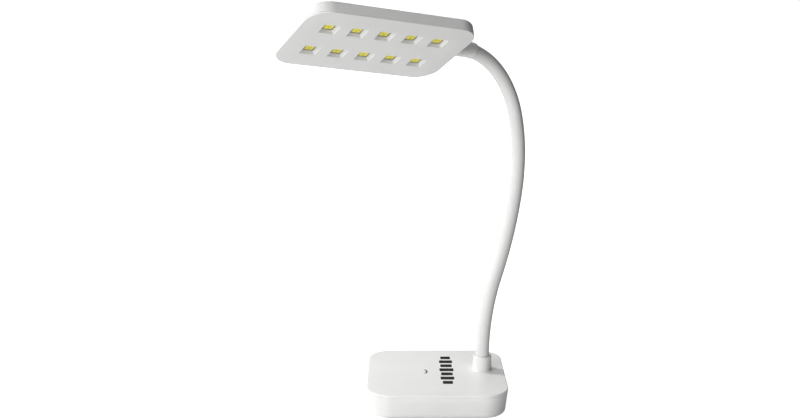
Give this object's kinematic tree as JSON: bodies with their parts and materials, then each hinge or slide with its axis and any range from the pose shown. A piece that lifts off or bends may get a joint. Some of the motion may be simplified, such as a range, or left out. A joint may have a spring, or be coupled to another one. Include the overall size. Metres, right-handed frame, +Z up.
{
  "type": "gooseneck uv curing lamp",
  "caption": "Small desk lamp for curing resin and gel: square weighted base with a touch key, flexible gooseneck and a flat rectangular head with wells for UV LEDs.",
  "frame": {"origin": "middle of the underside of the rubber pad that the lamp stands on", "axes": "+Z up, -Y the front of the base, where the touch key is, +Y the back, where the neck and the USB socket are, +X to the right seen from the front"},
  "size_m": [0.1117, 0.1382, 0.2311],
  "materials": {
    "base_white": "satin",
    "head_white": "satin",
    "collar_white": "satin",
    "neck_sleeve": "satin",
    "pad_rubber": "matte",
    "weight_steel": "satin",
    "board_green": "satin",
    "screw_steel": "satin",
    "socket_chrome": "gloss",
    "electrode_copper": "satin",
    "fitting_brass": "satin",
    "coil_steel": "satin",
    "lead_sheath": "matte",
    "led_board_aluminium": "satin",
    "led_yellow": "gloss"
  },
  "bodies": {
    "base": {"base_lid": "base_white", "base_tray": "base_white", "rubber_pad": "pad_rubber", "steel_weight": "weight_steel", "control_board": "board_green", "board_screws": "screw_steel", "usb_c_socket": "socket_chrome", "touch_electrode": "electrode_copper", "lid_screws": "screw_steel", "base_collar": "collar_white", "neck_fitting": "fitting_brass", "neck_washer": "screw_steel", "neck_nut": "fitting_brass", "base_lead": "lead_sheath"},
    "neck_1": {"neck_sleeve_01": "neck_sleeve", "neck_coil_01": "coil_steel", "neck_lead_01": "lead_sheath"},
    "neck_2": {"neck_sleeve_02": "neck_sleeve", "neck_coil_02": "coil_steel", "neck_lead_02": "lead_sheath"},
    "neck_3": {"neck_sleeve_03": "neck_sleeve", "neck_coil_03": "coil_steel", "neck_lead_03": "lead_sheath"},
    "neck_4": {"neck_sleeve_04": "neck_sleeve", "neck_coil_04": "coil_steel", "neck_lead_04": "lead_sheath"},
    "neck_5": {"neck_sleeve_05": "neck_sleeve", "neck_coil_05": "coil_steel", "neck_lead_05": "lead_sheath"},
    "neck_6": {"neck_sleeve_06": "neck_sleeve", "neck_coil_06": "coil_steel", "neck_lead_06": "lead_sheath"},
    "neck_7": {"neck_sleeve_07": "neck_sleeve", "neck_coil_07": "coil_steel", "neck_lead_07": "lead_sheath"},
    "neck_8": {"neck_sleeve_08": "neck_sleeve", "neck_coil_08": "coil_steel", "neck_lead_08": "lead_sheath"},
    "head": {"head_collar": "collar_white", "head_lead": "lead_sheath", "head_housing": "head_white", "head_face": "head_white", "led_board": "led_board_aluminium", "led_01": "led_yellow", "led_02": "led_yellow", "led_03": "led_yellow", "led_04": "led_yellow", "led_05": "led_yellow", "led_06": "led_yellow", "led_07": "led_yellow", "led_08": "led_yellow", "led_09": "led_yellow", "led_10": "led_yellow"}
  },
  "joints": [
    {"name": "neck_turn", "type": "hinge", "parent": "base", "child": "neck_1", "pos_m": [-0.005, 0.0272, 0.0237], "axis": [0, 0, 1], "range_deg": [-45, 45]},
    {"name": "neck_bend_1", "type": "hinge", "parent": "neck_1", "child": "neck_2", "pos_m": [-0.00596, 0.02897, 0.04765], "axis": [0.8796, 0.4756, 0], "range_deg": [-25, 25]},
    {"name": "neck_side_1", "type": "hinge", "parent": "neck_2", "child": "neck_3", "pos_m": [-0.00892, 0.03446, 0.07085], "axis": [-0.4455, 0.8239, -0.3502], "range_deg": [-25, 25]},
    {"name": "neck_bend_2", "type": "hinge", "parent": "neck_3", "child": "neck_4", "pos_m": [-0.01243, 0.04094, 0.09374], "axis": [0.8796, 0.4756, 0], "range_deg": [-25, 25]},
    {"name": "neck_side_2", "type": "hinge", "parent": "neck_4", "child": "neck_5", "pos_m": [-0.01488, 0.04547, 0.11723], "axis": [0.4691, -0.8676, 0.165], "range_deg": [-25, 25]},
    {"name": "neck_bend_3", "type": "hinge", "parent": "neck_5", "child": "neck_6", "pos_m": [-0.01576, 0.04711, 0.14119], "axis": [-0.8796, -0.4756, 0], "range_deg": [-25, 25]},
    {"name": "neck_side_3", "type": "hinge", "parent": "neck_6", "child": "neck_7", "pos_m": [-0.01441, 0.0446, 0.16503], "axis": [0.4634, -0.8571, -0.225], "range_deg": [-25, 25]},
    {"name": "neck_bend_4", "type": "hinge", "parent": "neck_7", "child": "neck_8", "pos_m": [-0.00968, 0.03585, 0.18676], "axis": [0.8796, 0.4756, 0], "range_deg": [-25, 25]},
    {"name": "head_turn", "type": "hinge", "parent": "neck_8", "child": "head", "pos_m": [-0.00079, 0.01942, 0.20144], "axis": [0.4394, -0.8127, 0.3827], "range_deg": [-45, 45]}
  ]
}
